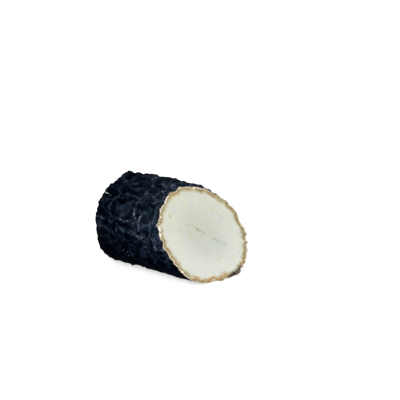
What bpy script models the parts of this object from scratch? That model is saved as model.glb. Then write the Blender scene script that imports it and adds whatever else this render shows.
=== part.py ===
"""Half of an ash-coated soft cheese log, lying on its side with its slanted cut towards +X.

Metres, +Z up. The log's axis runs along X. The origin is on the resting face, under the axis and
halfway between the closed end and the middle of the cut.
"""

import math

import bmesh
import bpy
from mathutils import Vector, noise

# The half log
LOG_RADIUS = 0.03885  # mean radius over the rind
AXIS_LENGTH = 0.0922  # along the axis, from the closed end to the middle of the cut
AXIS_HEIGHT = 0.0371  # of the axis above the table; what would lie lower is pressed flat
END_DOME = 0.0012  # how far the middle of the closed end stands out
CLOSED_END_X = -AXIS_LENGTH / 2
CUT_MIDDLE_X = AXIS_LENGTH / 2

# The slanted cut leans back from upright and turns towards -Y
CUT_LEAN = math.radians(28)
CUT_TURN = math.radians(22)

# Out-of-round section: direction from +Y towards +Z and spread in degrees, then height
SECTION_SWELLS = (
    (30, 18, 0.0006),
    (90, 20, 0.0009),
    (135, 14, -0.0004),
    (190, 14, -0.0006),
    (230, 20, 0.0024),  # the side sags outwards on the -Y side
    (268, 12, -0.0009),  # the underside is flatter, and spreads a little on the +Y side
    (290, 10, 0.0005),
    (350, 14, -0.0005),
)

# Behind the cut the upper back is fuller than at the cut's rim, and the lower front tapers away
UPPER_DIRECTION = 70
UPPER_SPREAD = 45
UPPER_FULLNESS = 0.0018
UPPER_RISE = 0.034  # length over which it grows from the closed end
RIM_FALL = 0.007  # length over which it falls to the rim
LOWER_DIRECTION = 244
LOWER_SPREAD = 40
LOWER_TAPER = 0.0016

# Radius of the closed end's edge, and where it is rounder or sharper: direction and spread in degrees,
# then gain
END_ROUNDING = 0.0128
ROUNDER_PLACES = (
    (107, 14, 0.0030),
    (143, 16, -0.0034),
    (178, 12, 0.0016),
    (208, 14, -0.0030),
    (248, 14, 0.0034),
)

# Wrinkled rind: the scale of its lumps and folds, and their heights
LUMP_SIZE = 0.0058
LUMP_HEIGHT = 0.0013
FOLD_SIZE = 0.0105
FOLD_SHARPNESS = 0.15  # share of a fold's spacing that its ridge takes
FOLD_HEIGHT = 0.0011
BEND_SIZE = 0.0120  # scale at which folds meander, and how far they do
BEND_REACH = 0.0045
BEND_SEED = 7
RELIEF_SINK = 0.0004  # lowers the relief so that its mean is the log's radius

# The underside is smooth where the table presses it: heights where relief starts and is full
RELIEF_STARTS = 0.0014
RELIEF_FULL = 0.0055

# A knob of folded rind on the closed end's upper edge
KNOB_DIRECTION = 86  # degrees from +Y towards +Z
KNOB_X = CLOSED_END_X + 0.0085
KNOB_WIDTH = 0.0036
KNOB_HEIGHT = 0.0018

# Mesh
COLUMNS = 108  # round the log
END_RINGS = 5  # across the flat of the closed end
ROUNDING_RINGS = 4  # over its rounded edge
SIDE_RINGS = 35  # from there to the cut

# Finish
RIND_COLOUR = (0.010, 0.013, 0.020, 1.0)
RIND_ROUGHNESS = 0.62
PASTE_COLOUR = (0.68, 0.70, 0.62, 1.0)
PASTE_ROUGHNESS = 0.5


def angle_between(degrees, other):
    """Smallest angle between two directions, in degrees."""
    return abs((degrees - other + 180) % 360 - 180)


def smooth_step(value, start, end):
    """0 up to start, 1 from end, and a smooth rise between."""
    share = min(1.0, max(0.0, (value - start) / (end - start)))
    return share * share * (3 - 2 * share)


def swell(degrees, direction, spread):
    """1 in the given direction round the axis, falling to 0 either side of it."""
    return math.exp(-((angle_between(degrees, direction) / spread) ** 2))


def section_radius(degrees):
    """Radius of the smooth log at the cut, in one direction round its axis."""
    return LOG_RADIUS + sum(height * swell(degrees, *where) for *where, height in SECTION_SWELLS)


def body_radius(x, degrees):
    """Radius of the smooth log at a place along it, in one direction round its axis."""
    radius = section_radius(degrees)
    rim = log_point(0, radius, degrees)
    rim_x = cut_x(rim.y, rim.z)
    fullness = smooth_step(x - CLOSED_END_X, 0, UPPER_RISE) * smooth_step(rim_x - x, 0, RIM_FALL)
    taper = 1 - smooth_step(x, CLOSED_END_X, rim_x)
    radius += UPPER_FULLNESS * fullness * swell(degrees, UPPER_DIRECTION, UPPER_SPREAD)
    return radius - LOWER_TAPER * taper * swell(degrees, LOWER_DIRECTION, LOWER_SPREAD)


def end_rounding(degrees):
    """Radius of the closed end's edge, in one direction round the axis."""
    return END_ROUNDING + sum(gain * swell(degrees, *where) for *where, gain in ROUNDER_PLACES)


def log_point(x, radius, degrees):
    """The point at a distance from the log's axis, with z measured from the axis."""
    angle = math.radians(degrees)
    return Vector((x, radius * math.cos(angle), radius * math.sin(angle)))


def cut_x(y, z):
    """Where the slanted cut crosses a line along X, with z measured from the axis."""
    return CUT_MIDDLE_X + y * math.tan(CUT_TURN) - z * math.tan(CUT_LEAN)


def wrinkles(point):
    """Height of the lumps and folds of the rind at a point of the smooth log."""
    lumps = noise.noise(point / LUMP_SIZE) * LUMP_HEIGHT
    bent = point + noise.noise_vector(point / BEND_SIZE) * BEND_REACH
    crossing = noise.noise(bent / FOLD_SIZE)
    folds = math.exp(-((crossing / FOLD_SHARPNESS) ** 2)) * FOLD_HEIGHT
    return lumps + folds - RELIEF_SINK


def knob(point):
    """Height of the knob at a point of the smooth log."""
    middle = log_point(KNOB_X, body_radius(KNOB_X, KNOB_DIRECTION), KNOB_DIRECTION)
    return KNOB_HEIGHT * math.exp(-(((point - middle).length / KNOB_WIDTH) ** 2))


def rind_height(point):
    """Height of the whole rind relief, which fades out towards the pressed underside."""
    above_table = smooth_step(point.z + AXIS_HEIGHT, RELIEF_STARTS, RELIEF_FULL)
    return (wrinkles(point) + knob(point)) * above_table


def end_profile():
    """(share of the way from the axis to the rounding, angle round it) for each ring of the end."""
    for ring in range(1, END_RINGS + 1):
        yield ring / END_RINGS, 0.0
    for ring in range(1, ROUNDING_RINGS + 1):
        yield 1.0, math.pi / 2 * ring / ROUNDING_RINGS


def closed_end_point(share, turn, degrees):
    """A point of the closed end, pushed out by the rind relief."""
    rounding = end_rounding(degrees)
    x = CLOSED_END_X - END_DOME * (1 - share * share) + rounding * (1 - math.cos(turn))
    flat_radius = body_radius(x, degrees) - rounding
    point = log_point(x, flat_radius * share + rounding * math.sin(turn), degrees)
    outward = log_point(-math.cos(turn), math.sin(turn), degrees)
    return point + outward * rind_height(point)


def side_point(share, degrees):
    """A point of the side, at a share of the way from the rounded end to the cut."""
    radius = section_radius(degrees)
    rim = log_point(0, radius, degrees)
    rim.x = cut_x(rim.y, rim.z)
    rim_radius = radius + rind_height(rim)
    end = log_point(0, rim_radius, degrees)
    end_x = cut_x(end.y, end.z)
    if share == 1:
        return log_point(end_x, rim_radius, degrees)
    start_x = CLOSED_END_X + end_rounding(degrees)
    x = start_x + (end_x - start_x) * share
    radius = body_radius(x, degrees)
    point = log_point(x, radius, degrees)
    return log_point(x, radius + rind_height(point), degrees)


def rested(point):
    """The point in the part's frame, pressed flat where it would be under the table."""
    z = max(0.0, point.z + AXIS_HEIGHT)
    return Vector((point.x, point.y, z))


def rings():
    """Rings of points from the middle of the closed end to the rim of the cut."""
    directions = [360 * column / COLUMNS for column in range(COLUMNS)]
    for share, turn in end_profile():
        yield [closed_end_point(share, turn, degrees) for degrees in directions]
    for ring in range(1, SIDE_RINGS + 1):
        yield [side_point(ring / SIDE_RINGS, degrees) for degrees in directions]


def build_cheese():
    """One closed body: the wrinkled log up to the cut, and the flat cut face."""
    mesh = bmesh.new()
    middle = Vector((CLOSED_END_X - END_DOME, 0, 0))
    pole = mesh.verts.new(rested(middle - Vector((rind_height(middle), 0, 0))))
    last = None
    for ring in rings():
        row = [mesh.verts.new(rested(point)) for point in ring]
        for column in range(COLUMNS):
            following = (column + 1) % COLUMNS
            if last is None:
                mesh.faces.new((pole, row[following], row[column]))
            else:
                mesh.faces.new((last[column], last[following], row[following], row[column]))
        last = row
    face = mesh.faces.new(last)
    bmesh.ops.recalc_face_normals(mesh, faces=mesh.faces)
    for side in mesh.faces:
        side.smooth = side is not face
    face.material_index = 1
    bmesh.ops.triangulate(mesh, faces=[side for side in mesh.faces if len(side.verts) == 4])
    data = bpy.data.meshes.new("cheese")
    mesh.to_mesh(data)
    mesh.free()
    cheese = bpy.data.objects.new("cheese", data)
    bpy.context.scene.collection.objects.link(cheese)
    return cheese


def make_material(name, colour, roughness):
    material = bpy.data.materials.new(name)
    material.use_nodes = True
    shader = material.node_tree.nodes["Principled BSDF"]
    shader.inputs["Base Color"].default_value = colour
    shader.inputs["Roughness"].default_value = roughness
    shader.inputs["Metallic"].default_value = 0.0
    return material


for item in list(bpy.data.objects):
    bpy.data.objects.remove(item)
noise.seed_set(BEND_SEED)
cheese = build_cheese()
cheese.data.materials.append(make_material("ash_rind", RIND_COLOUR, RIND_ROUGHNESS))
cheese.data.materials.append(make_material("paste", PASTE_COLOUR, PASTE_ROUGHNESS))
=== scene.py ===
"""Looks of the half ash-coated cheese log: its wrinkled ash rind, tan rim and pale cut paste.

Metres, +Z up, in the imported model's frame: the log's axis runs along X, with the slanted cut
towards +X, and the origin is on the resting face. Sizes on the cut face are in millimetres.
"""

import math
import random

import bmesh
import bpy
from mathutils import Matrix, Vector, geometry, noise


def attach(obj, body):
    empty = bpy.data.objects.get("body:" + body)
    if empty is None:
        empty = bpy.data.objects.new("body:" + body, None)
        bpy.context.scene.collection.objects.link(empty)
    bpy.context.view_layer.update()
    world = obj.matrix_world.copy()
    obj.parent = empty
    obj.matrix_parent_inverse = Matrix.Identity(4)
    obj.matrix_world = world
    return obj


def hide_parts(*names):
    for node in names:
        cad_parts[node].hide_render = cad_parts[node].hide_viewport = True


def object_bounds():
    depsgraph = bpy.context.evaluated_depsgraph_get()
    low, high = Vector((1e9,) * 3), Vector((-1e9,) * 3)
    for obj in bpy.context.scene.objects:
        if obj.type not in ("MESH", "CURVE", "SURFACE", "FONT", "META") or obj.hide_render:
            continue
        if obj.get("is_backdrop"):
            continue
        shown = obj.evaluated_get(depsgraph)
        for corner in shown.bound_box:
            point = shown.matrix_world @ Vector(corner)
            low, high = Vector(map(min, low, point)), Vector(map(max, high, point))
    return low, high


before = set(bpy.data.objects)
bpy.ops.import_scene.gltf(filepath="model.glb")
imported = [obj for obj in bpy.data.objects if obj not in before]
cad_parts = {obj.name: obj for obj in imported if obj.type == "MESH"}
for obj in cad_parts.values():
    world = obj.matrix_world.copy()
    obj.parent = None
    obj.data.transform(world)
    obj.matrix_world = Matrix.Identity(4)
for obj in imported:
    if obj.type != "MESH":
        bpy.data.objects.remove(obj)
CAD_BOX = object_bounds()

MM = 0.001

# The half log
LOG_RADIUS = 0.03885
AXIS_LENGTH = 0.0922
AXIS_HEIGHT = 0.0371
END_DOME = 0.0012
CLOSED_END_X = -AXIS_LENGTH / 2
CUT_MIDDLE_X = AXIS_LENGTH / 2

# The slanted cut leans back from upright and turns towards -Y
CUT_LEAN = math.radians(28)
CUT_TURN = math.radians(22)
CUT_MIDDLE = Vector((CUT_MIDDLE_X, 0, 0))
CUT_NORMAL = Vector((1, -math.tan(CUT_TURN), math.tan(CUT_LEAN))).normalized()
CUT_RIGHT = Vector((0, 0, 1)).cross(CUT_NORMAL).normalized()
CUT_UP = CUT_NORMAL.cross(CUT_RIGHT)

# Out-of-round section: direction from +Y towards +Z and spread in degrees, then height
SECTION_SWELLS = (
    (30, 18, 0.0006),
    (90, 20, 0.0009),
    (135, 14, -0.0004),
    (190, 14, -0.0006),
    (230, 20, 0.0024),
    (268, 12, -0.0009),
    (290, 10, 0.0005),
    (350, 14, -0.0005),
)

# Behind the cut the upper back is fuller than at the cut's rim, and the lower front tapers away
UPPER_DIRECTION = 70
UPPER_SPREAD = 45
UPPER_FULLNESS = 0.0018
UPPER_RISE = 0.034
RIM_FALL = 0.007
LOWER_DIRECTION = 244
LOWER_SPREAD = 40
LOWER_TAPER = 0.0016

# Radius of the closed end's edge, and where it is rounder or sharper: direction and spread in degrees,
# then gain
END_ROUNDING = 0.0128
ROUNDER_PLACES = (
    (107, 14, 0.0030),
    (143, 16, -0.0034),
    (178, 12, 0.0016),
    (208, 14, -0.0030),
    (248, 14, 0.0034),
)

# Wrinkled rind: the solid's lumps and folds
LUMP_SIZE = 0.0058
LUMP_HEIGHT = 0.0013
FOLD_SIZE = 0.0105
FOLD_SHARPNESS = 0.15
FOLD_HEIGHT = 0.0011
BEND_SIZE = 0.0120
BEND_REACH = 0.0045
BEND_SEED = 7
RELIEF_SINK = 0.0004
RELIEF_STARTS = 0.0014
RELIEF_FULL = 0.0055

# Finer wrinkles on top of them, like crumpled skin: sharp ridges between smooth hollows
WRINKLE_SIZE = 0.0075
WRINKLE_HEIGHT = 0.0006
WRINKLE_RIDGES = (0.9, 2.1, 3, 1.0, 1.6)  # their noise's dimension, lacunarity, octaves, offset, gain
WRINKLE_MEAN = 1.0  # ridged noise that is neither crest nor hollow
# Pale crests, here and in the folds below, are partly ash worn off and partly a painted highlight
WRINKLE_CREST = (1.22, 1.60)  # ridged noise at which a crest begins to pale, and is palest
WRINKLE_PALENESS = 0.42  # how pale such a crest is, where a single fold's is 1
WRINKLE_PATCH_SIZE = 0.0120  # wrinkles are deeper and shallower in patches of this scale
WRINKLE_PATCH = (-0.35, 0.35)  # noise at which they are shallowest, and deepest
WRINKLE_SHALLOW = 0.5  # share of their height that the shallowest keep
WRINKLE_DULL = 0.4  # share of their paleness that these keep
WRINKLE_OFFSET = Vector((0.31, 0.17, 0.53))  # keeps one noise apart from another

# Single folds that stand out: width in mm, height in metres, then a line of
# (mm along the axis from the closed end, direction in degrees)
SINGLE_FOLDS = (
    (1.2, 0.0010, ((22, 133), (19, 136), (17, 149), (19, 154), (21, 159), (30, 160), (37, 162), (42, 158))),
    (0.9, 0.0007, ((17, 139), (22, 133), (28, 132))),
    (1.3, 0.0008, ((41, 142), (45, 152), (49, 159))),
    (1.2, 0.0008, ((49, 143), (51, 150), (51, 158), (51, 170))),
    (1.3, 0.0008, ((28, 165), (29, 176))),
    (0.9, 0.0008, ((38, 138), (37, 134), (43, 135))),
    (0.9, 0.0008, ((57, 122), (58, 113), (63, 110))),
    (0.7, 0.0006, ((51, 94), (61, 94))),
    (0.7, 0.0006, ((41, 98), (57, 100), (68, 93))),
    (0.7, 0.0007, ((39, 92), (44, 94))),
    (0.8, 0.0008, ((8, 130), (11, 132))),
    (1.2, 0.0008, ((32, 171), (39, 170), (48, 172))),
    (2.4, 0.0008, ((29, 173), (42, 174), (54, 177))),
    (1.6, 0.0005, ((56, 172), (60, 180))),
    (1.8, 0.0004, ((67, 165), (69, 190))),
    (0.9, 0.0005, ((67, 170), (70, 178), (69, 192))),
    (1.2, 0.0008, ((6, 164), (10, 162), (15, 165))),
    (0.7, 0.0007, ((34, 206), (38, 209))),
    (0.9, 0.0007, ((56, 136), (60, 143))),
    (0.9, 0.0006, ((15, 186), (21, 184))),
    (1.0, 0.0006, ((22, 196), (28, 200), (36, 197))),
    (0.9, 0.0006, ((36, 185), (41, 186))),
    (1.4, 0.0005, ((9, 195), (12, 204))),
    (1.2, 0.0006, ((57, 131), (61, 128))),
    (3.0, -0.0018, ((16.5, 74), (18.5, 100))),  # a hollow beside the knob
)
FOLD_WAVER_SIZE = 0.0040
FOLD_WAVER = 1.0  # mm that a fold strays from its line
FOLD_REACH = 3  # how far past the ends of its line a fold can show, in fold widths
FOLD_LINE_SHARE = 0.7  # share of a fold's width that its pale crest takes, partly worn ash and partly a painted highlight
FOLD_SHADE_REACH = 2.4  # how far the painted shade in the hollow beside a fold reaches, in fold widths
FOLD_HOLLOW_SHADE = 0.45  # how dark that painted shade is, where a full crest is 1
FOLD_FULL_RISE = 0.0010  # height of a fold whose crest is palest
FOLD_FADE_SIZE = 0.0026  # folds pale and fade along their length at this scale
FOLD_FADE = (-0.35, 0.25)  # noise at which a crest is dullest, and palest
FOLD_DULL = 0.2  # share of its paleness that the dullest keeps
FOLD_CREST = 0.35  # how pale the crests of the solid's own folds are beside these

# A knob of folded rind on the closed end's upper edge
KNOB_DIRECTION = 86
KNOB_X = CLOSED_END_X + 0.0085
KNOB_WIDTH = 0.0036
KNOB_HEIGHT = 0.0018

# Torn edge of the rind round the cut, with small scallops and curls
EDGE_RELIEF = 0.35  # share of the rind's relief that its edge keeps
EDGE_INSET = 0.0004  # the rind's edge is worn back this far
SCALLOP_SIZE = 0.0032
SCALLOP_REACH = 0.0004
CURL_SIZE = 0.0013
CURL_REACH = 0.00035
CURL_RISE = 0.0004
EDGE_RISE = 0.0003  # how far the edge stands out from the cut
EDGE_REACH = 0.0016  # distance over which the rind runs up to its edge
EDGE_OFFSET = Vector((5.3, 2.1, 7.9))
TAB_CURL = 0.45  # how far a tab curls up, as a share of its reach

# Tabs and notches: direction and spread in degrees, then reach in mm
RIM_TABS = (
    (8, 4, -0.4),
    (15, 40, -0.3),
    (330, 30, -0.3),
    (18, 5, 0.8),
    (33, 1.5, 0.7),
    (47, 6, -0.5),
    (61, 2.5, 0.6),
    (78, 6, -0.4),
    (95, 2, 1.3),
    (102, 3.5, -0.8),
    (111, 2, 0.8),
    (125, 6, -0.8),
    (136.5, 2, 1.2),
    (146, 4, -0.6),
    (157, 2, 1.2),
    (163, 2, -0.9),
    (177, 1.4, -1.0),
    (183, 2, 1.5),
    (201, 1.7, -0.7),
    (217.5, 3, 0.8),
    (230.5, 1.7, 1.0),
    (242, 5, 0.4),
    (257, 3, -1.1),
    (268.5, 3.5, 1.2),
    (287, 3, -0.5),
    (297, 4, 1.1),
    (303, 1.4, -0.5),
    (312, 1.8, 0.8),
    (318, 1.5, 0.5),
    (339, 1.4, 1.3),
    (348.5, 1.8, 1.2),
    (355, 4, 0.7),
)

# Heights of the cut face in metres, with widths, scales and distances from its edge in mm: the lip at
# the torn edge, the groove inside it, the swollen paste with its waves and grain, and its cracks
LIP_MIDDLE = 0.5
LIP_WIDTH = 0.8
GROOVE_MIDDLE = 2.0
GROOVE_WIDTH = 0.8
GROOVE_DEPTH = 0.00018
GROOVE_FADE = (0.0, 1.0)  # where the groove begins, and is full
PASTE_SWELL = 0.0004
PASTE_SWELL_REACH = 22.0
PASTE_WAVE_SIZE = 9.0
PASTE_WAVE = 0.00016
PASTE_GRAIN_SIZE = 2.2
PASTE_GRAIN = 0.00006
PASTE_WAVE_FADE = (0.5, 4.0)  # where waves and grain begin, and are full
CRACK_DEPTH = 0.0004

# Marks on the cut face: width in mm, strength, then a line in mm right and up from the cut's middle
MARKS = {
    "crack": (
        (0.50, 0.6, ((-8.1, 11.0), (-6.3, 8.4))),
        (0.60, 0.9, ((-6.3, 8.4), (-3.6, 5.2))),
        (0.50, 0.4, ((-4.8, 6.2), (-4.1, 4.2))),
        (0.55, 0.8, ((-3.3, 5.0), (-0.8, 3.1), (1.8, 0.5))),
        (0.50, 0.5, ((-2.9, -0.3), (-2.5, -0.4))),
        (0.60, 0.6, ((8.2, -4.2), (9.6, -5.6))),
        (0.50, 0.6, ((9.6, -5.6), (11.2, -7.0), (14.3, -9.0))),
        (0.45, 0.6, ((-26.6, -1.6), (-25.5, -3.8))),
        (0.45, 0.2, ((-12.9, 6.5), (-12.6, 3.4), (-11.6, 0.0))),
        (0.60, 0.8, ((-27.3, 22.6), (-27.2, 21.5))),
        (0.45, 0.4, ((32.8, -6.4), (35.9, -6.2))),
        (0.40, 0.4, ((29.9, -22.1), (32.0, -22.4))),
        (0.40, 0.3, ((19.0, 16.8), (22.9, 10.6))),
        (0.45, 0.3, ((0.6, -12.7), (0.9, -13.2))),
        (0.45, 0.3, ((1.4, -16.8), (1.6, -17.2))),
    ),
    "yellow": (
        (1.2, 0.7, ((-8.1, 11.0), (-6.1, 8.0), (-4.1, 4.2))),
        (0.9, 0.6, ((2.0, 0.5), (4.9, -0.5))),
        (0.9, 0.8, ((-20.6, 9.0), (-20.8, 6.2), (-20.6, 3.3))),
        (0.8, 0.8, ((-12.9, 6.5), (-12.6, 3.4), (-11.6, 0.0))),
        (0.8, 0.4, ((-0.3, -0.1), (0.2, -0.3))),
        (0.9, 0.5, ((-9.2, 32.0), (-9.9, 28.4))),
        (1.1, 0.9, ((15.8, 19.7), (16.6, 18.3))),
        (1.0, 0.9, ((25.4, -24.7), (25.4, -26.1))),
        (1.2, 1.0, ((-27.5, 23.0), (-27.0, 20.8))),
        (1.1, 1.0, ((8.9, -22.7), (9.3, -23.5))),
        (1.8, 0.5, ((-28.2, -8.2), (-27.5, -9.2))),
        (1.1, 0.6, ((8.2, -4.2), (11.2, -7.0))),
        (2.2, 0.4, ((36.2, -13.2), (34.7, -19.2))),
        (0.8, 0.4, ((1.8, -26.7), (-0.1, -32.9))),
    ),
    "grey": (
        (1.2, 0.8, ((-14.1, 11.3), (-11.7, 11.1))),
        (1.2, 0.5, ((-3.3, 6.0), (-0.8, 3.1), (1.8, 0.5))),
        (1.2, 0.6, ((11.2, -7.0), (14.3, -9.0))),
        (1.9, 0.8, ((16.4, -10.8), (18.6, -12.4))),
        (1.1, 1.0, ((37.0, -6.0), (38.0, -5.8))),
        (0.8, 0.4, ((19.0, 16.8), (22.9, 10.6))),
        (0.8, 0.4, ((6.7, 9.8), (12.9, 10.5))),
    ),
    "tan": (
        (1.5, 0.9, ((-19.8, -32.4), (-14.8, -36.2))),
        (1.3, 1.0, ((-6.4, -39.4), (-3.6, -38.7), (-0.8, -38.0))),
        (2.2, 1.0, ((3.7, -40.4), (7.3, -38.8), (12.0, -37.4))),
        (1.2, 0.6, ((29.3, -32.8), (33.2, -30.5), (35.5, -26.5))),
        (0.7, 0.5, ((33.6, 15.3), (35.3, 10.5), (36.5, 5.7))),
        (0.6, 0.3, ((15.9, 33.2), (20.6, 29.6), (24.4, 26.3))),
        (1.2, 0.4, ((-25.8, 36.4), (-23.2, 38.1), (-18.0, 40.2))),
        (1.0, 0.3, ((-39.6, -1.8), (-38.7, -5.5), (-36.5, -11.6))),
    ),
    "ash": (
        (1.3, 1.0, ((14.4, -40.8), (19.9, -39.2))),
        (2.3, 1.0, ((19.9, -39.2), (26.6, -37.3), (28.4, -36.2))),
    ),
}
MARK_WAVER_SIZE = 1.7  # marks stray from their lines and break up, at this scale in mm
MARK_WAVER = 0.6  # mm that they stray
MARK_BREAK = (-0.36, -0.09)  # straying at which a mark is gone, and whole

# Mesh
COLUMNS = 400  # round the log
ROUNDING_RINGS = 22  # over the closed end's rounded edge
SIDE_RINGS = 118  # from there to the cut
SIDE_EASING = 1.2  # above 1, rings draw closer towards the cut
RIM_RINGS = (0.25, 0.55, 0.85, 1.15, 1.5, 1.9, 2.3, 2.8, 3.4)  # mm in from the cut's edge
FACE_REACH = 50.0  # mm from the middle of the cut that its points may reach
FACE_SPACING = 0.52  # mm between points of the cut face inside the rim's rings
END_SPACING = 0.75  # mm between points of the closed end's flat
KEEP_INSIDE = 1  # the fill keeps the triangles inside the outline
FILL_TOLERANCE = 1e-5
RIND_SLOT = 0
PASTE_SLOT = 1

# Crumbs of torn rind along the rim
CRUMB_SEED = 11
CRUMB_KINDS = (  # count, then ranges of direction in degrees, mm in from the cut's edge, size, stretch
    (300, (0, 360), (-0.1, 1.5), (0.00018, 0.00048), (1.0, 2.4)),
    (40, (-36, 78), (0.0, 0.5), (0.00040, 0.00060), (1.6, 2.8)),
)
CRUMB_FLATNESS = 0.6
CRUMB_LUMPINESS = 0.35
CRUMB_BUMPS = 1.3  # how many there are across its radius
CRUMB_SUBDIVISIONS = 2
CRUMB_ASH_LIMIT = 0.2  # no pale crumbs lie where the rim is ashier than this

# White and cream flecks on the rim, the stretched ones from 115.5 to 138 degrees partly the lip's own pale
# colour and partly a painted highlight along it: direction in degrees, mm in from the cut's edge, size,
# stretch
RIM_FLECKS_AND_HIGHLIGHTS = (
    (159.8, 1.1, 0.00115, 2.1),
    (162.5, 0.7, 0.00080, 1.8),
    (168.2, 0.8, 0.00100, 1.8),
    (115.5, 0.4, 0.00045, 3.6),
    (120.0, 0.4, 0.00050, 3.6),
    (124.5, 0.5, 0.00055, 3.2),
    (130.0, 0.4, 0.00050, 3.6),
    (138.0, 0.4, 0.00050, 2.0),
    (146.0, 0.6, 0.00050, 2.2),
    (96.5, 0.8, 0.00060, 1.8),
    (28.0, 0.8, 0.00060, 1.8),
    (216.5, 0.8, 0.00070, 2.0),
)
CREAM_FLECKS = (
    (258.5, 1.3, 0.00090, 1.8),
    (261.5, 1.0, 0.00060, 1.6),
    (270.0, 0.8, 0.00060, 2.2),
    (273.0, 2.0, 0.00085, 1.3),
    (275.5, 1.2, 0.00110, 1.5),
    (236.0, 0.5, 0.00070, 2.4),
)

# Pale flecks on the rind, the first four of them a painted highlight, a glint: mm from the closed end,
# direction in degrees, size, stretch
RIND_FLECKS_AND_GLINT = (
    (7.0, 130.2, 0.00042, 1.8),
    (8.6, 131.0, 0.00062, 2.2),
    (10.6, 131.6, 0.00050, 1.8),
    (12.8, 132.8, 0.00026, 1.6),
    (33.0, 204.0, 0.00030, 1.2),
    (37.0, 206.0, 0.00035, 1.3),
    (38.0, 210.0, 0.00030, 1.2),
    (66.0, 175.0, 0.00024, 1.3),
    (62.0, 178.0, 0.00024, 1.1),
    (56.0, 176.5, 0.00032, 1.2),
    (41.0, 93.0, 0.00035, 1.8),
    (42.5, 90.0, 0.00045, 1.4),
    (20.0, 166.0, 0.00022, 1.4),
    (46.0, 160.0, 0.00024, 1.4),
)

# In the materials, a change is (start, end, amount up to the start, amount from the end), where amounts
# of 0 and 1 are left out. Patches are (scale, detail and roughness of a noise, then a change over it).
# Scales are in metres on the rind and in mm on the cut. Colours are display values from 0 to 255.

# Fine creases of the ash, pale lines that are partly worn ash and partly a painted highlight: scale, width
# as a share of its noise, and how pale
ASH_CREASES = (
    (0.0085, 0.035, 0.9),
    (0.0050, 0.045, 0.5),
    (0.0027, 0.060, 0.4),
)
CREASE_DETAIL = 1.0
CREASE_BEND = 0.9
CREASE_PATCH_SIZE = 2.6  # scale of the patches without creases, in crease scales
CREASE_PATCH = (0.42, 0.60)  # noise at which the creases begin, and are full

# Tone of the ash, from 0 in its hollows to 1 on its palest crests: the hollows' dark is painted shade, and
# the crests' paleness partly worn ash and partly a painted highlight
ASH_TONE = 0.145
# Painted shade by the relief: how much darker the hollows and paler the lumps are
PAINTED_RELIEF_SHADE = 0.12
CREASE_GAIN = 0.14
BROKEN_LINES = (0.0020, 2.0, 0.5, 0.38, 0.60, 0.30, 0.78)
ASH_MOTTLES = (  # scale, detail, roughness and gain, with the grain of dust last
    (0.0140, 2.0, 0.50, 0.45),
    (0.0055, 3.0, 0.60, 0.64),
    (0.0018, 4.0, 0.75, 1.15),
)
# Painted shade: the ash darker towards the bottom of the log and at its closed end; painted light: paler
# towards the cut; then paler towards the cut's edge
PAINTED_SHADE_BY_HEIGHT = (0.004, 0.044, -0.46, 0.0)
PAINTED_LIGHT_AND_SHADE_BY_LENGTH = (-0.050, 0.030, -0.08, 0.14)
TONE_BY_RIM_MM = (-22.0, -4.0, 0.0, 0.08)
ASH_SHADES = (
    (0.00, (0, 2, 6)),
    (0.20, (9, 17, 28)),
    (0.45, (27, 36, 48)),
    (0.70, (59, 68, 80)),
    (1.00, (112, 120, 132)),
)
ASH_TINTS = ((0.78, 1.02, 1.04, 1.0), (1.02, 0.96, 1.05, 1.0))
ASH_TINT_PATCHES = (0.013, 2.0, 0.5, 0.4, 0.6)
ASH_TINT_SHARE = 0.55
ASH_ROUGHNESS = (0.1, 0.8, 0.75, 0.48)  # by tone
ASH_SPECULAR = 0.005
CREASE_BUMP = 0.00025
ASH_GRAIN_BUMP = 0.00018

# Rind's edge, worn free of ash
WORN_COLOUR = (196, 180, 144)
WORN_WAVER_SIZE = 0.0012
WORN_WAVER = 1.6  # mm that the worn strip's border strays
WORN_EDGE = (0.15, 0.55)

# Torn rim of the cut: pairs of colours, then the patches and bands in which they show
PALE_LINE = ((210, 204, 188), (180, 170, 148))
BROWN_LINE = ((144, 132, 84), (168, 140, 90))
CREAM = ((186, 180, 136), (196, 180, 140))
NOTCH_COLOUR = (122, 106, 62)
RIGHT_COLOUR = (70, 60, 36)
RIM_TONES = (5.5, 2.0, 0.5, 0.38, 0.62)
BROWN_PATCHES = (2.1, 2.0, 0.5, 0.34, 0.52, 0.25, 1.0)
NOTCH_PATCHES = (1.2, 3.0, 0.5, 0.54, 0.68, 0.0, 0.5)
BROWN_EDGE = (0.5, 1.3)  # mm in from the rind's edge, like the next four
CREAM_EDGE = (1.8, 2.8)
RIGHT_EDGE = (2.0, 4.5, 1.0, 0.3)
PASTE_EDGE = (2.4, 5.8)
PASTE_ROUGHNESS = (0.5, 3.0, 0.75, 0.52)
RIGHT_DARKENING = (-10.0, 25.0, 0.0, 0.22)  # by mm right of the middle
RIM_WAVER_NOISE = (5.0, 5.0, 0.6)
RIM_WAVER = 3.2  # mm that the bands stray either way

# Paste: its colours, and where they show
PASTE_TONES = ((217, 220, 211), (223, 226, 213))
PASTE_PATCHES = (12.0, 2.0, 0.5, 0.35, 0.65)
FINE_NOISE = (2.4, 4.0, 0.65)
FINE_COLOUR = (210, 214, 202)
FINE_SHARE = (0.3, 0.7, 0.0, 0.5)
STREAK_COLOUR = (215, 216, 213)
STREAK_PATCHES = (1.8, 2.0, 0.5, 0.45, 0.65, 0.0, 0.5)
STREAK_STRETCH = 0.15  # how fast the streaks' noise changes upwards, where sideways is 1
MIDDLE_COLOUR = (202, 206, 196)
MIDDLE_SHARE = (10.0, 34.0)  # by mm in from the rind's edge
UPPER_SHARE = (-32.0, 30.0)  # by mm up from the middle
UPPER_TINT = (0.93, 0.93, 0.88, 1.0)
DARK_SPECK_COLOUR = (196, 202, 184)
DARK_SPECKS = (1.3, 2.0, 0.6, 0.50, 0.72, 0.0, 0.45)
PALE_SPECK_COLOUR = (228, 230, 228)
PALE_SPECKS = (1.3, 2.0, 0.6, 0.44, 0.30, 0.0, 0.35)
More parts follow.
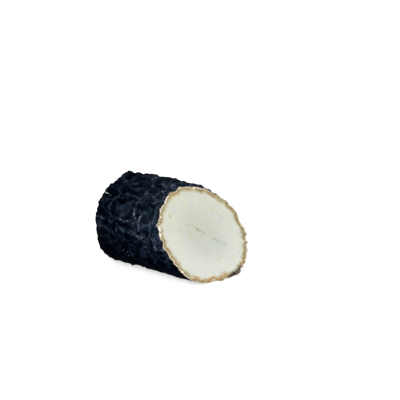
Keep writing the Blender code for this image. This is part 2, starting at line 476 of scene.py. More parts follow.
MARK_COLOURS = {
    "yellow": (0.50, (192, 200, 124)),
    "grey": (0.45, (166, 171, 174)),
    "crack": (0.52, (138, 142, 112)),
    "tan": (0.85, (188, 144, 84)),
}
CRUMBLY_NOISE = (1.4, 3.0, 0.7)
SHADOW_COLOUR = (92, 98, 86)  # of the lowest rim, where it curls under
SHADOW_WAVER = 1.2
SHADOW_EDGE = (0.7, 1.1, 1.0, 0.0)  # mm in from the rind's edge
SHADOW_SHARE = (-28.0, -34.0, 0.0, 0.8)  # by mm up from the middle
ASH_MARK_TONES = ((26, 26, 26), (96, 82, 58))
ASH_MARK_TONE_SHARE = (0.46, 0.64)
ASH_MARK_SHARE = (0.28, 0.42)
PASTE_GRAIN_NOISE = (0.7, 3.0, 0.65)
PASTE_GRAIN_BUMP = 0.00010
CRUMBLY_BUMP = 0.00012
PASTE_SPECULAR = 0.30
PASTE_SUBSURFACE = 0.15
PASTE_SUBSURFACE_RADIUS = (1.0, 0.8, 0.5)
PASTE_SUBSURFACE_SCALE = 0.0015

# Crumbs and flecks of dried rind, some of the flecks painted highlights
RIM_CRUMB_TONES = ((160, 138, 92), (232, 224, 204))
RIM_FLECK_AND_HIGHLIGHT_TONES = ((236, 232, 220), (252, 251, 246))
RIND_FLECK_AND_GLINT_TONES = ((104, 111, 124), (182, 186, 196))
CRUMB_PATCHES = (0.0045, 3.0, 0.7, 0.36, 0.64)
CRUMB_ROUGHNESS = 0.7
CRUMB_SPECULAR = 0.2
CRUMB_GRAIN_SIZE = 0.0004
CRUMB_GRAIN_BUMP = 0.00006

# Photograph's view
PHOTO_WIDTH = 400
CUT_MIDDLE_PIXEL = (203.2, 234.8)
PIXELS_PER_METRE = 1166
CAMERA_DISTANCE = 1.3
CAMERA_AZIMUTH = math.radians(33.7)
CAMERA_ELEVATION = math.radians(20)
SENSOR_WIDTH = 36.0

# Light: each softbox's place from the log's middle, its size and its watts
WORLD_BRIGHTNESS = 0.40
SOFTBOXES = {
    "key": ((0.75, -3.0, 2.2), 2.6, 81.0),
    "fill": ((3.0, 0.4, 2.4), 2.2, 14.0),
    "back": ((-1.2, 3.0, 2.6), 2.2, 15.0),
}
FLOOR_SIZE = 12.0
FLOOR_DROP = 0.0003  # keeps the floor clear of the rind
FLOOR_COLOUR = (0.9, 0.9, 0.9, 1.0)
FLOOR_ROUGHNESS = 0.9
FLOOR_GLOW = 0.60
WHITE = (1.0, 1.0, 1.0, 1.0)


def smooth_step(value, start, end):
    """0 up to start, 1 from end, and a smooth rise between."""
    share = min(1.0, max(0.0, (value - start) / (end - start)))
    return share * share * (3 - 2 * share)


def part_way(low, high, share):
    """The amount at a share of the way from low to high."""
    return low + (high - low) * share


def bell(distance, width):
    """1 at no distance, falling to 0 on both sides over about twice the width."""
    return math.exp(-((distance / width) ** 2))


def swell(degrees, direction, spread):
    """1 in the given direction round the axis, falling to 0 either side of it."""
    return bell((degrees - direction + 180) % 360 - 180, spread)


def section_radius(degrees):
    """Radius of the smooth log at the cut, in one direction round its axis."""
    return LOG_RADIUS + sum(height * swell(degrees, *where) for *where, height in SECTION_SWELLS)


def log_point(x, radius, degrees):
    """The point at a distance from the log's axis, with z measured from the axis."""
    angle = math.radians(degrees)
    return Vector((x, radius * math.cos(angle), radius * math.sin(angle)))


def cut_x(y, z):
    """Where the slanted cut crosses a line along X, with z measured from the axis."""
    return CUT_MIDDLE_X + y * math.tan(CUT_TURN) - z * math.tan(CUT_LEAN)


def body_radius(x, degrees, radius):
    """Radius of the smooth log at a place along it, from its radius at the cut in that direction."""
    rim = log_point(0, radius, degrees)
    rim_x = cut_x(rim.y, rim.z)
    fullness = smooth_step(x - CLOSED_END_X, 0, UPPER_RISE) * smooth_step(rim_x - x, 0, RIM_FALL)
    taper = 1 - smooth_step(x, CLOSED_END_X, rim_x)
    radius += UPPER_FULLNESS * fullness * swell(degrees, UPPER_DIRECTION, UPPER_SPREAD)
    return radius - LOWER_TAPER * taper * swell(degrees, LOWER_DIRECTION, LOWER_SPREAD)


def end_rounding(degrees):
    """Radius of the closed end's edge, in one direction round the axis."""
    return END_ROUNDING + sum(gain * swell(degrees, *where) for *where, gain in ROUNDER_PLACES)


def distance_to_line(point, line):
    """Distance in a plane from a point to a line through its corners."""
    nearest = math.inf
    for start, end in zip(line, line[1:]):
        run = (end[0] - start[0], end[1] - start[1])
        away = (point[0] - start[0], point[1] - start[1])
        share = (away[0] * run[0] + away[1] * run[1]) / (run[0] ** 2 + run[1] ** 2)
        share = min(1.0, max(0.0, share))
        nearest = min(nearest, math.hypot(away[0] - run[0] * share, away[1] - run[1] * share))
    return nearest


def unrolled(mm_along, degrees):
    """A place on the log's side, in mm, as if the side were unrolled flat."""
    return mm_along, math.radians(degrees) * LOG_RADIUS / MM


UNROLLED_FOLDS = [
    (width, height, [unrolled(*corner) for corner in line]) for width, height, line in SINGLE_FOLDS
]


def single_folds(point):
    """(height, how much the point lies on a crest, less the painted shade in the hollow beside it) of the
    folds that stand out.
    """
    degrees = math.degrees(math.atan2(point.z, point.y)) % 360
    waver = noise.noise_vector(point / FOLD_WAVER_SIZE) * FOLD_WAVER
    mm_along, mm_round = unrolled((point.x - CLOSED_END_X) / MM, degrees)
    place = (mm_along + waver.x, mm_round + waver.y)
    height = 0.0
    crest = 0.0
    for width, rise, line in UNROLLED_FOLDS:
        reach = FOLD_REACH * width
        if not min(line)[0] - reach < place[0] < max(line)[0] + reach:
            continue
        away = distance_to_line(place, line)
        fold = bell(away, width)
        # Painted shade: a dark band in the hollow beside the fold
        hollow_shade = bell(away, width * FOLD_SHADE_REACH) - fold
        height += rise * fold
        crest += rise / FOLD_FULL_RISE * (bell(away, width * FOLD_LINE_SHARE) - hollow_shade * FOLD_HOLLOW_SHADE)
    fade = smooth_step(noise.noise(point / FOLD_FADE_SIZE), *FOLD_FADE)
    return height, crest * part_way(FOLD_DULL, 1, fade)


def wrinkles(point):
    """(height of the rind's relief, how much the point lies on a crest, whose paleness is partly a painted
    highlight, less the painted shade beside single folds) on the smooth log.
    """
    lumps = noise.noise(point / LUMP_SIZE)
    bent = point + noise.noise_vector(point / BEND_SIZE) * BEND_REACH
    crossing = noise.noise(bent / FOLD_SIZE)
    height = lumps * LUMP_HEIGHT + bell(crossing, FOLD_SHARPNESS) * FOLD_HEIGHT - RELIEF_SINK
    crest = FOLD_CREST * bell(crossing, FOLD_SHARPNESS * FOLD_LINE_SHARE)
    patch = smooth_step(noise.noise(point / WRINKLE_PATCH_SIZE + WRINKLE_OFFSET), *WRINKLE_PATCH)
    ridged = noise.ridged_multi_fractal(bent / WRINKLE_SIZE + WRINKLE_OFFSET, *WRINKLE_RIDGES)
    height += (ridged - WRINKLE_MEAN) * WRINKLE_HEIGHT * part_way(WRINKLE_SHALLOW, 1, patch)
    paleness = WRINKLE_PALENESS * part_way(WRINKLE_DULL, 1, patch)
    crest = max(crest, smooth_step(ridged, *WRINKLE_CREST) * paleness)
    rise, single_crest = single_folds(point)
    return height + rise, max(crest + min(0.0, single_crest), single_crest)


KNOB_MIDDLE = log_point(
    KNOB_X, body_radius(KNOB_X, KNOB_DIRECTION, section_radius(KNOB_DIRECTION)), KNOB_DIRECTION
)


def rind_relief(point):
    """(height, ridge) of the whole rind, which is smooth where the table presses it."""
    above_table = smooth_step(point.z + AXIS_HEIGHT, RELIEF_STARTS, RELIEF_FULL)
    height, crest = wrinkles(point)
    knob = KNOB_HEIGHT * bell((point - KNOB_MIDDLE).length, KNOB_WIDTH)
    return (height + knob) * above_table, crest * above_table


def rested(point):
    """The point in the part's frame, pressed flat where it would be under the table."""
    return Vector((point.x, point.y, max(0.0, point.z + AXIS_HEIGHT)))


def cut_point(radius, degrees, raised=0.0):
    """A point of the slanted cut, raised along its normal, with z measured from the axis."""
    point = log_point(0, radius, degrees)
    point.x = cut_x(point.y, point.z)
    return point + CUT_NORMAL * raised


def on_cut(point):
    """Millimetres right and up from the middle of the cut."""
    from_middle = (point - CUT_MIDDLE) / MM
    return Vector((from_middle.dot(CUT_RIGHT), from_middle.dot(CUT_UP)))


def cut_slope(degrees):
    """Length on the slanted cut for each unit of radius, in one direction."""
    return (cut_point(LOG_RADIUS, degrees) - CUT_MIDDLE).length / LOG_RADIUS


def edge_at(degrees):
    """(radius, raised) of the torn edge of the rind at the cut."""
    radius = section_radius(degrees)
    height = rind_relief(cut_point(radius, degrees))[0]
    place = log_point(0, LOG_RADIUS, degrees)
    scallop = noise.noise(place / SCALLOP_SIZE + EDGE_OFFSET)
    curl = noise.noise(place / CURL_SIZE - EDGE_OFFSET)
    tab = MM * sum(reach * swell(degrees, direction, spread) for direction, spread, reach in RIM_TABS)
    outward = scallop * SCALLOP_REACH + curl * CURL_REACH + tab - EDGE_INSET
    return radius + height * EDGE_RELIEF + outward, EDGE_RISE + curl * CURL_RISE + max(0.0, tab) * TAB_CURL


def marked(place, kind):
    """How strongly the marks of one kind show at a place on the cut, from 0 to 1."""
    waver = noise.noise_vector(place.to_3d() / MARK_WAVER_SIZE) * MARK_WAVER
    strayed = place + waver.xy
    total = sum(share * bell(distance_to_line(strayed, line), width) for width, share, line in MARKS[kind])
    return min(1.0, total) * smooth_step(waver.z, *MARK_BREAK)


def face_height(place, rim_mm, raised):
    """Height of the cut face above its plane: torn edge, groove, swollen paste and cracks."""
    lip = raised * bell(rim_mm - LIP_MIDDLE, LIP_WIDTH) / bell(LIP_MIDDLE, LIP_WIDTH)
    groove = GROOVE_DEPTH * bell(rim_mm - GROOVE_MIDDLE, GROOVE_WIDTH) * smooth_step(rim_mm, *GROOVE_FADE)
    swollen = PASTE_SWELL * smooth_step(rim_mm, 0.0, PASTE_SWELL_REACH)
    flat = place.to_3d()
    waves = noise.noise(flat / PASTE_WAVE_SIZE) * PASTE_WAVE
    waves += noise.noise(flat / PASTE_GRAIN_SIZE) * PASTE_GRAIN
    waves *= smooth_step(rim_mm, *PASTE_WAVE_FADE)
    return lip - groove + swollen + waves - marked(place, "crack") * CRACK_DEPTH


def face_point(degrees, radius, rim_mm, raised=0.0):
    """(point of the cut face, its place in mm right and up from the middle)."""
    place = on_cut(cut_point(radius, degrees))
    return cut_point(radius, degrees, face_height(place, rim_mm, raised)), place


class Surface:
    """The half log's points, with what its materials read at each, and its faces."""

    def __init__(self):
        self.points = []
        self.values = {name: [] for name in ("ridge", "relief", "rim_mm", "cut_u", "cut_v", *MARKS)}
        self.faces = []
        self.slots = []

    def add(self, point, **values):
        """Adds a point and returns its number."""
        self.points.append(rested(point))
        for name, amounts in self.values.items():
            amounts.append(values.get(name, 0.0))
        return len(self.points) - 1

    def add_rind_point(self, point, height, crest, rim_mm=-AXIS_LENGTH / MM):
        """Adds a point of the rind, which is raised by a height from the smooth log."""
        return self.add(point, ridge=crest, relief=height / LUMP_HEIGHT, rim_mm=rim_mm)

    def add_face_point(self, degrees, radius, rim_mm, raised=0.0):
        """Adds a point of the cut face. Returns its number and its place on the cut."""
        point, place = face_point(degrees, radius, rim_mm, raised)
        marks = {kind: marked(place, kind) for kind in MARKS}
        return self.add(point, rim_mm=rim_mm, cut_u=place.x, cut_v=place.y, **marks), place

    def bridge(self, first, second, slot):
        """Joins two rings of points with quads."""
        for column in range(COLUMNS):
            following = (column + 1) % COLUMNS
            self.faces.append((first[column], first[following], second[following], second[column]))
            self.slots.append(slot)

    def fill(self, ring, ring_flat, inside, inside_flat, slot):
        """Fills a ring of points with triangles through the points inside it."""
        numbers = ring + inside
        outlines = [list(range(len(ring)))]
        flat = ring_flat + inside_flat
        filled = geometry.delaunay_2d_cdt(flat, [], outlines, KEEP_INSIDE, FILL_TOLERANCE)
        _, _, triangles, sources, _, _ = filled
        origin = [numbers[source[0]] for source in sources]
        for corners in triangles:
            self.faces.append(tuple(origin[corner] for corner in corners))
            self.slots.append(slot)


def even_grid(reach, spacing):
    """Points of an even triangular grid, out to a reach from the middle."""
    rise = spacing * math.sqrt(0.75)
    rows = int(reach / rise)
    steps = int(reach / spacing) + 1
    for row in range(-rows, rows + 1):
        for step in range(-steps, steps + 1):
            yield Vector(((step + row % 2 / 2) * spacing, row * rise))


def between_columns(amounts, degrees):
    """An amount known at each column, read at any direction round the axis."""
    place = degrees / 360 * COLUMNS
    column = int(place)
    share = place - column
    return amounts[column % COLUMNS] * (1 - share) + amounts[(column + 1) % COLUMNS] * share


def add_end_flat(surface, directions, radii):
    """The slightly domed flat of the closed end. Returns the ring round it."""
    flats = [
        body_radius(CLOSED_END_X, degrees, radius) - end_rounding(degrees)
        for degrees, radius in zip(directions, radii)
    ]

    def add_point(radius, degrees, reach):
        share = radius / reach
        point = log_point(CLOSED_END_X - END_DOME * (1 - share * share), radius, degrees)
        height, crest = rind_relief(point)
        return surface.add_rind_point(point + Vector((-1, 0, 0)) * height, height, crest)

    ring = [add_point(flat, degrees, flat) for flat, degrees in zip(flats, directions)]
    ring_flat = [log_point(0, flat / MM, degrees).yz for flat, degrees in zip(flats, directions)]
    inside = []
    inside_flat = []
    for place in even_grid(max(flats) / MM, END_SPACING):
        degrees = math.degrees(math.atan2(place.y, place.x)) % 360
        reach = between_columns(flats, degrees)
        if place.length * MM < reach - END_SPACING * MM / 2:
            inside.append(add_point(place.length * MM, degrees, reach))
            inside_flat.append(place)
    surface.fill(ring, ring_flat, inside, inside_flat, RIND_SLOT)
    return ring


def add_end_rounding(surface, ring, directions, radii):
    """The rounded edge of the closed end. Returns its last ring."""
    for step in range(1, ROUNDING_RINGS + 1):
        turn = math.pi / 2 * step / ROUNDING_RINGS
        following = []
        for degrees, radius in zip(directions, radii):
            rounding = end_rounding(degrees)
            x = CLOSED_END_X + rounding * (1 - math.cos(turn))
            full = body_radius(x, degrees, radius)
            point = log_point(x, full - rounding * (1 - math.sin(turn)), degrees)
            outward = log_point(-math.cos(turn), math.sin(turn), degrees)
            height, crest = rind_relief(point)
            following.append(surface.add_rind_point(point + outward * height, height, crest))
        surface.bridge(ring, following, RIND_SLOT)
        ring = following
    return ring


def add_side(surface, ring, directions, radii, edges):
    """The wrinkled side, from the rounded end to the cut's edge. Returns the ring at the edge."""
    tips = [cut_point(radius, degrees, raised) for degrees, (radius, raised) in zip(directions, edges)]
    for step in range(1, SIDE_RINGS):
        share_left = (1 - step / SIDE_RINGS) ** SIDE_EASING
        following = []
        for degrees, radius, tip in zip(directions, radii, tips):
            from_tip = (tip.x - CLOSED_END_X - end_rounding(degrees)) * share_left
            x = tip.x - from_tip
            smooth_radius = body_radius(x, degrees, radius)
            height, crest = rind_relief(log_point(x, smooth_radius, degrees))
            full = smooth_radius + height
            full += (tip.yz.length - full) * bell(from_tip, EDGE_REACH)
            point = log_point(x, full, degrees)
            following.append(surface.add_rind_point(point, height, crest, -from_tip / MM))
        surface.bridge(ring, following, RIND_SLOT)
        ring = following
    following = [surface.add(tip, ash=marked(on_cut(tip), "ash")) for tip in tips]
    surface.bridge(ring, following, RIND_SLOT)
    return following


def add_face(surface, ring, directions, edges):
    """The cut face, from its edge inwards."""
    slopes = [cut_slope(degrees) for degrees in directions]
    for rim_mm in RIM_RINGS:
        following = []
        flat = []
        for degrees, slope, (radius, raised) in zip(directions, slopes, edges):
            number, place = surface.add_face_point(degrees, radius - rim_mm * MM / slope, rim_mm, raised)
            following.append(number)
            flat.append(place)
        surface.bridge(ring, following, PASTE_SLOT)
        ring = following
    radii = [radius for radius, raised in edges]
    inside = []
    inside_flat = []
    for place in even_grid(FACE_REACH, FACE_SPACING):
        point = (CUT_RIGHT * place.x + CUT_UP * place.y) * MM
        degrees = math.degrees(math.atan2(point.z, point.y)) % 360
        radius = point.yz.length
        rim_mm = (between_columns(radii, degrees) - radius) * between_columns(slopes, degrees) / MM
        if rim_mm > RIM_RINGS[-1] + FACE_SPACING / 2:
            number, exact_place = surface.add_face_point(degrees, radius, rim_mm)
            inside.append(number)
            inside_flat.append(exact_place)
    surface.fill(ring, flat, inside, inside_flat, PASTE_SLOT)


def link_mesh(name, mesh):
    """Links an object for a mesh, shaded smooth."""
    mesh.shade_smooth()
    piece = bpy.data.objects.new(name, mesh)
    bpy.context.scene.collection.objects.link(piece)
    return piece


def build_half_log():
    """The whole half log as one closed mesh."""
    directions = [360 * column / COLUMNS for column in range(COLUMNS)]
    radii = [section_radius(degrees) for degrees in directions]
    edges = [edge_at(degrees) for degrees in directions]
    surface = Surface()
    ring = add_end_flat(surface, directions, radii)
    ring = add_end_rounding(surface, ring, directions, radii)
    ring = add_side(surface, ring, directions, radii, edges)
    add_face(surface, ring, directions, edges)
    mesh = bpy.data.meshes.new("half_log")
    mesh.from_pydata(surface.points, [], surface.faces)
    mesh.polygons.foreach_set("material_index", surface.slots)
    for name, amounts in surface.values.items():
        mesh.attributes.new(name, "FLOAT", "POINT").data.foreach_set("value", amounts)
    shell = bmesh.new()
    shell.from_mesh(mesh)
    bmesh.ops.recalc_face_normals(shell, faces=shell.faces)
    shell.to_mesh(mesh)
    shell.free()
    return link_mesh("half_log", mesh)


def add_lump(mesh, point, along, outward, size, stretch):
    """One flattened lump, stretched along a direction of the surface it lies on."""
    across = outward.cross(along)
    axes = Matrix((along * size * stretch, across * size, outward * size * CRUMB_FLATNESS)).transposed()
    lump = bmesh.ops.create_icosphere(mesh, subdivisions=CRUMB_SUBDIVISIONS, radius=1.0)
    for vertex in lump["verts"]:
        bumps = noise.noise(vertex.co * CRUMB_BUMPS + point / MM) * CRUMB_LUMPINESS
        vertex.co = rested(point + axes @ (vertex.co * (1 + bumps)))


def add_rim_crumb_and_highlight(mesh, degrees, rim_mm, size, stretch):
    """One crumb or fleck on the rim, stretched along it; the white flecks along the lip from 115.5 to 138
    degrees are painted highlights.
    """
    radius, raised = edge_at(degrees)
    point, place = face_point(degrees, radius - rim_mm * MM / cut_slope(degrees), rim_mm, raised)
    if marked(place, "ash") < CRUMB_ASH_LIMIT:
        ahead = cut_point(radius, degrees + 1) - cut_point(radius, degrees)
        add_lump(mesh, point, ahead.normalized(), CUT_NORMAL, size, stretch)


def add_rind_fleck(mesh, mm_along, degrees, size, stretch):
    """One pale fleck half sunk in the rind of the side or of the closed end's rounded edge; the glint that
    some of them make is a painted highlight.
    """
    x = CLOSED_END_X + mm_along * MM
    rounding = end_rounding(degrees)
    left = max(0.0, 1 - mm_along * MM / rounding)
    radius = body_radius(x, degrees, section_radius(degrees)) - rounding * (1 - math.sqrt(1 - left * left))
    point = log_point(x, radius, degrees)
    outward = log_point(-left, math.sqrt(1 - left * left), degrees)
    point += outward * rind_relief(point)[0]
    along = (Vector((1, 0, 0)) - outward * outward.x).normalized()
    add_lump(mesh, point, along, outward, size, stretch)


def build_crumbs_and_highlights(name, add, crumbs_and_highlights):
    """Crumbs and flecks on the half log, some of them painted highlights, joined in one mesh."""
    made = bmesh.new()
    for crumb in crumbs_and_highlights:
        add(made, *crumb)
    mesh = bpy.data.meshes.new(name)
    made.to_mesh(mesh)
    made.free()
    return link_mesh(name, mesh)


def scattered_crumbs():
    """(direction, mm in from the edge, size, stretch) of each small crumb."""
    draw = random.Random(CRUMB_SEED)
    for count, *ranges in CRUMB_KINDS:
        for _ in range(count):
            yield tuple(draw.uniform(*span) for span in ranges)


def linear(value):
    """Linear share from a display value of 0 to 255."""
    share = value / 255
    return share / 12.92 if share <= 0.04045 else ((share + 0.055) / 1.055) ** 2.4


def colour(display):
    """Linear colour from three display values."""
    return (*map(linear, display), 1.0)


class Tree:
    """A material's nodes, with short ways to add and join them."""

    def __init__(self, name):
        self.material = bpy.data.materials.new(name)
        self.material.use_nodes = True
        self.nodes = self.material.node_tree.nodes
        self.links = self.material.node_tree.links
        self.place = self.node("TexCoord", "Object", {})  # where its noises are read

    def node(self, kind, output, inputs, **settings):
        """Adds a node, fills its inputs and returns one of its outputs."""
        made = self.nodes.new("ShaderNode" + kind)
        for name, value in settings.items():
            setattr(made, name, value)
        self.feed(made, inputs)
        return made.outputs[output]

    def feed(self, node, inputs):
        """Joins each input to another node's output, or sets its value."""
        for name, value in inputs.items():
            if isinstance(value, bpy.types.NodeSocket):
                self.links.new(value, node.inputs[name])
            else:
                node.inputs[name].default_value = value

    def shade(self, inputs):
        """Fills the inputs of the material's shader."""
        self.feed(self.nodes["Principled BSDF"], inputs)

    def attribute(self, name):
        return self.node("Attribute", "Fac", {}, attribute_name=name)

    def noise(self, size, detail=2.0, roughness=0.5, distortion=0.0, place=None):
        """Noise with a scale in the units of its place."""
        inputs = {
            "Vector": place or self.place,
            "Scale": 1 / size,
            "Detail": detail,
            "Roughness": roughness,
            "Distortion": distortion,
        }
        return self.node("TexNoise", "Fac", inputs)

    def math(self, operation, first, second=0.0, third=0.0):
        return self.node("Math", 0, {0: first, 1: second, 2: third}, operation=operation)

    def between(self, value, start, end, low=0.0, high=1.0):
        """Low up to start, high from end, and a smooth change between."""
        inputs = {"Value": value, "From Min": start, "From Max": end, "To Min": low, "To Max": high}
        return self.node("MapRange", "Result", inputs, interpolation_type="SMOOTHSTEP")

    def patches(self, size, detail, roughness, *change, place=None):
        """A share that changes where a noise does."""
        return self.between(self.noise(size, detail, roughness, place=place), *change)

    def multiply(self, first, second):
        return self.math("MULTIPLY", first, second)

    def mix(self, share, first, second, blend="MIX"):
        """The second colour over the first, through the node's colour sockets."""
        inputs = {0: share, 6: first, 7: second}
        return self.node("Mix", 2, inputs, data_type="RGBA", blend_type=blend)

    def tones(self, share, pair):
        """A colour between a pair of display colours."""
        return self.mix(share, *map(colour, pair))

    def over(self, share, shade, display):
        """A shade with a share of a display colour over it."""
        return self.mix(share, shade, colour(display))

    def ramp(self, value, stops):
        """A colour read from stops of (value, display colour)."""
        made = self.nodes.new("ShaderNodeValToRGB")
        elements = made.color_ramp.elements
        while len(elements) < len(stops):
            elements.new(1.0)
        for element, (position, shade) in zip(elements, stops):
            element.position = position
            element.color = colour(shade)
        self.feed(made, {"Fac": value})
        return made.outputs["Color"]

    def bump(self, height, distance, normal=None):
        """A normal tilted by a height from 0 to 1 that stands for a distance."""
        inputs = {"Height": height, "Distance": distance}
        if normal:
            inputs["Normal"] = normal
        return self.node("Bump", "Normal", inputs)


def ash_creases(tree):
    """Fine bent creases in patches, from 0 to about 1."""
    creases = 0.0
    for size, width, share in ASH_CREASES:
        bent = tree.noise(size, CREASE_DETAIL, distortion=CREASE_BEND)
        crossing = tree.math("ABSOLUTE", tree.math("SUBTRACT", bent, 0.5))
        line = tree.between(crossing, 0.0, width, 1.0, 0.0)
        patch_noise = tree.noise(CREASE_PATCH_SIZE * size, CREASE_DETAIL)
        patch = tree.between(patch_noise, *CREASE_PATCH, 0.0, share)
        creases = tree.math("MULTIPLY_ADD", line, patch, creases)
    return creases


def ash_rind():
    """Matte blue-black ash, paler on the crests of the wrinkles and on fine creases, partly worn ash and
    partly a painted highlight, with grains of dust; painted shade darkens its hollows, its bottom and its
    closed end, and painted light makes it paler towards the cut.
    """
    tree = Tree("ash_rind")
    rim_mm = tree.attribute("rim_mm")
    along = tree.node("SeparateXYZ", "X", {0: tree.place})
    height = tree.node("SeparateXYZ", "Z", {0: tree.place})
    creases = ash_creases(tree)
    # Pale crest and crease lines: partly worn ash, partly a painted highlight
    lines = tree.math("MULTIPLY_ADD", creases, CREASE_GAIN, tree.attribute("ridge"))
    # Painted shade: darker in the relief's hollows, paler on its lumps
    tone = tree.math("MULTIPLY_ADD", tree.attribute("relief"), PAINTED_RELIEF_SHADE, ASH_TONE)
    tone = tree.math("MULTIPLY_ADD", lines, tree.patches(*BROKEN_LINES), tone)
    for size, detail, roughness, gain in ASH_MOTTLES:
        grain = tree.noise(size, detail, roughness)
        tone = tree.math("MULTIPLY_ADD", tree.math("SUBTRACT", grain, 0.5), gain, tone)
    # Painted shade towards the bottom and the closed end, painted light towards the cut, and paler towards
    # the cut's edge
    for value, change in ((height, PAINTED_SHADE_BY_HEIGHT), (along, PAINTED_LIGHT_AND_SHADE_BY_LENGTH), (rim_mm, TONE_BY_RIM_MM)):
        tone = tree.math("ADD", tone, tree.between(value, *change))
    tint = tree.mix(tree.patches(*ASH_TINT_PATCHES), *ASH_TINTS)
    shade = tree.mix(ASH_TINT_SHARE, tree.ramp(tone, ASH_SHADES), tint, "MULTIPLY")
    ragged = tree.math("MULTIPLY_ADD", tree.noise(WORN_WAVER_SIZE), WORN_WAVER, rim_mm)
    bare = tree.math("SUBTRACT", 1.0, tree.attribute("ash"))
    worn = tree.multiply(tree.between(ragged, *WORN_EDGE), bare)
    tree.shade(
        {
            "Base Color": tree.over(worn, shade, WORN_COLOUR),
            "Roughness": tree.between(tone, *ASH_ROUGHNESS),
            "Specular IOR Level": ASH_SPECULAR,
            "Normal": tree.bump(grain, ASH_GRAIN_BUMP, tree.bump(creases, CREASE_BUMP)),
        }
    )
    return tree.material


def torn_rim(tree, right, rim_mm, wobbled):
    """The rim's colour: a pale line and a brown one, then cream, darker towards the right."""
    tone = tree.patches(*RIM_TONES)
    brown = tree.patches(*BROWN_PATCHES)
    brown = tree.multiply(tree.between(rim_mm, *BROWN_EDGE), brown)
    rim = tree.mix(brown, tree.tones(tone, PALE_LINE), tree.tones(tone, BROWN_LINE))
    rim = tree.mix(tree.between(wobbled, *CREAM_EDGE), rim, tree.tones(tone, CREAM))
    rim = tree.over(tree.patches(*NOTCH_PATCHES), rim, NOTCH_COLOUR)
    darker = tree.between(right, *RIGHT_DARKENING)
    return tree.over(tree.multiply(darker, tree.between(wobbled, *RIGHT_EDGE)), rim, RIGHT_COLOUR)


def chalky_paste(tree, right, up, rim_mm, fine):
    """The paste's colour: pale, with faint mottles, streaks and specks, a little duller in the middle."""
    paste = tree.tones(tree.patches(*PASTE_PATCHES), PASTE_TONES)
    paste = tree.over(tree.between(fine, *FINE_SHARE), paste, FINE_COLOUR)
    streak_place = tree.node("CombineXYZ", 0, {0: right, 1: tree.multiply(up, STREAK_STRETCH)})
    paste = tree.over(tree.patches(*STREAK_PATCHES, place=streak_place), paste, STREAK_COLOUR)
    paste = tree.over(tree.between(rim_mm, *MIDDLE_SHARE), paste, MIDDLE_COLOUR)
    paste = tree.mix(tree.between(up, *UPPER_SHARE), paste, UPPER_TINT, "MULTIPLY")
    paste = tree.over(tree.patches(*DARK_SPECKS), paste, DARK_SPECK_COLOUR)
    return tree.over(tree.patches(*PALE_SPECKS), paste, PALE_SPECK_COLOUR)


def cut_paste():
    """Pale chalky paste that turns cream, golden and tan towards the torn edge of the rind."""
    tree = Tree("cut_paste")
    rim_mm = tree.attribute("rim_mm")
    right = tree.attribute("cut_u")
    up = tree.attribute("cut_v")
    tree.place = tree.node("CombineXYZ", 0, {0: right, 1: up})
    wobble = tree.noise(*RIM_WAVER_NOISE)
    wobbled = tree.math("ADD", rim_mm, tree.math("MULTIPLY_ADD", wobble, 2 * RIM_WAVER, -RIM_WAVER))
    fine = tree.noise(*FINE_NOISE)
    crumbly = tree.noise(*CRUMBLY_NOISE)
    rim = torn_rim(tree, right, rim_mm, wobbled)
    paste = chalky_paste(tree, right, up, rim_mm, fine)
    shade = tree.mix(tree.between(wobbled, *PASTE_EDGE), rim, paste)
    for kind, (share, display) in MARK_COLOURS.items():
        shade = tree.over(tree.multiply(tree.attribute(kind), share), shade, display)
    shadow = tree.between(tree.math("MULTIPLY_ADD", crumbly, SHADOW_WAVER, rim_mm), *SHADOW_EDGE)
    shadow = tree.multiply(shadow, tree.between(up, *SHADOW_SHARE))
    shade = tree.over(shadow, shade, SHADOW_COLOUR)
    ash = tree.multiply(tree.attribute("ash"), tree.between(crumbly, *ASH_MARK_SHARE))
    ash_shade = tree.tones(tree.between(fine, *ASH_MARK_TONE_SHARE), ASH_MARK_TONES)
    grain = tree.bump(tree.noise(*PASTE_GRAIN_NOISE), PASTE_GRAIN_BUMP)
    tree.shade(
        {
            "Base Color": tree.mix(ash, shade, ash_shade),
            "Roughness": tree.between(rim_mm, *PASTE_ROUGHNESS),
            "Specular IOR Level": PASTE_SPECULAR,
            "Subsurface Weight": PASTE_SUBSURFACE,
            "Subsurface Radius": PASTE_SUBSURFACE_RADIUS,
            "Subsurface Scale": PASTE_SUBSURFACE_SCALE,
            "Normal": tree.bump(crumbly, CRUMBLY_BUMP, grain),
        }
    )
    return tree.material


def crumb_and_highlight_material(name, pair):
    """Crumbs of dried rind, and pale flecks that are partly painted highlights."""
    tree = Tree(name)
    tree.shade(
        {
            "Base Color": tree.tones(tree.patches(*CRUMB_PATCHES), pair),
            "Roughness": CRUMB_ROUGHNESS,
            "Specular IOR Level": CRUMB_SPECULAR,
            "Normal": tree.bump(tree.noise(CRUMB_GRAIN_SIZE), CRUMB_GRAIN_BUMP),
        }
    )
    return tree.material


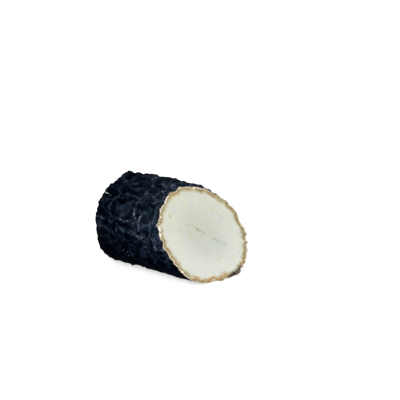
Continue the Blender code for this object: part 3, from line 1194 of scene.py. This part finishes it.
def place_camera():
    """The camera at the photograph's angle, aimed so that the cut's middle is where it shows there."""
    sideways = Vector((math.cos(CAMERA_AZIMUTH), math.sin(CAMERA_AZIMUTH), 0))
    level = Vector((math.sin(CAMERA_AZIMUTH), -math.cos(CAMERA_AZIMUTH), 0))
    back = level * math.cos(CAMERA_ELEVATION) + Vector((0, 0, math.sin(CAMERA_ELEVATION)))
    upward = back.cross(sideways)
    pixels_right = CUT_MIDDLE_PIXEL[0] - PHOTO_WIDTH / 2
    pixels_down = CUT_MIDDLE_PIXEL[1] - PHOTO_WIDTH / 2
    aim = rested(CUT_MIDDLE) + (upward * pixels_down - sideways * pixels_right) / PIXELS_PER_METRE
    data = bpy.data.cameras.new("camera")
    data.sensor_width = SENSOR_WIDTH
    data.lens = SENSOR_WIDTH * PIXELS_PER_METRE * CAMERA_DISTANCE / PHOTO_WIDTH
    camera = bpy.data.objects.new("camera", data)
    bpy.context.scene.collection.objects.link(camera)
    turned = Matrix((sideways, upward, back)).transposed().to_4x4()
    camera.matrix_world = Matrix.Translation(aim + back * CAMERA_DISTANCE) @ turned
    bpy.context.scene.camera = camera


def light_studio():
    """White surroundings and large softboxes."""
    world = bpy.data.worlds.new("studio")
    world.use_nodes = True
    background = world.node_tree.nodes["Background"]
    background.inputs["Color"].default_value = WHITE
    background.inputs["Strength"].default_value = WORLD_BRIGHTNESS
    bpy.context.scene.world = world
    middle = Vector((0, 0, AXIS_HEIGHT))
    for name, (place, size, watts) in SOFTBOXES.items():
        data = bpy.data.lights.new(name, "AREA")
        data.shape = "DISK"
        data.size = size
        data.energy = watts
        light = bpy.data.objects.new(name, data)
        light.location = middle + Vector(place)
        light.rotation_euler = Vector(place).to_track_quat("Z", "Y").to_euler()
        bpy.context.scene.collection.objects.link(light)
    bpy.context.scene.view_settings.view_transform = "Standard"


def lay_floor():
    """A plain white floor."""
    half = FLOOR_SIZE / 2
    corners = [(-half, -half, 0), (half, -half, 0), (half, half, 0), (-half, half, 0)]
    mesh = bpy.data.meshes.new("floor")
    mesh.from_pydata(corners, [], [(0, 1, 2, 3)])
    floor = bpy.data.objects.new("floor", mesh)
    floor.location.z = -FLOOR_DROP
    bpy.context.scene.collection.objects.link(floor)
    tree = Tree("floor")
    tree.shade(
        {
            "Base Color": FLOOR_COLOUR,
            "Roughness": FLOOR_ROUGHNESS,
            "Specular IOR Level": 0.0,
            "Emission Color": WHITE,
            "Emission Strength": FLOOR_GLOW,
        }
    )
    mesh.materials.append(tree.material)
    floor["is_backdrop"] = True


noise.seed_set(BEND_SEED)
place_camera()
light_studio()
lay_floor()

half_log = build_half_log()
half_log.data.materials.append(ash_rind())
half_log.data.materials.append(cut_paste())
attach(half_log, "root")
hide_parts("cheese")

# Crumbs, cream flecks and white flecks; those along the rim's lip and the glint on the rind are painted
# highlights
for name, add, crumbs_and_highlights, pair in (
    ("rim_crumbs", add_rim_crumb_and_highlight, [*scattered_crumbs(), *CREAM_FLECKS], RIM_CRUMB_TONES),
    ("rim_flecks_and_highlights", add_rim_crumb_and_highlight, RIM_FLECKS_AND_HIGHLIGHTS, RIM_FLECK_AND_HIGHLIGHT_TONES),
    ("rind_flecks_and_glint", add_rind_fleck, RIND_FLECKS_AND_GLINT, RIND_FLECK_AND_GLINT_TONES),
):
    piece = build_crumbs_and_highlights(name, add, crumbs_and_highlights)
    piece.data.materials.append(crumb_and_highlight_material(name, pair))
    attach(piece, "root")

boxes = {"cad": CAD_BOX, "visual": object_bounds()}
{name: [list(corner) for corner in box] for name, box in boxes.items()}
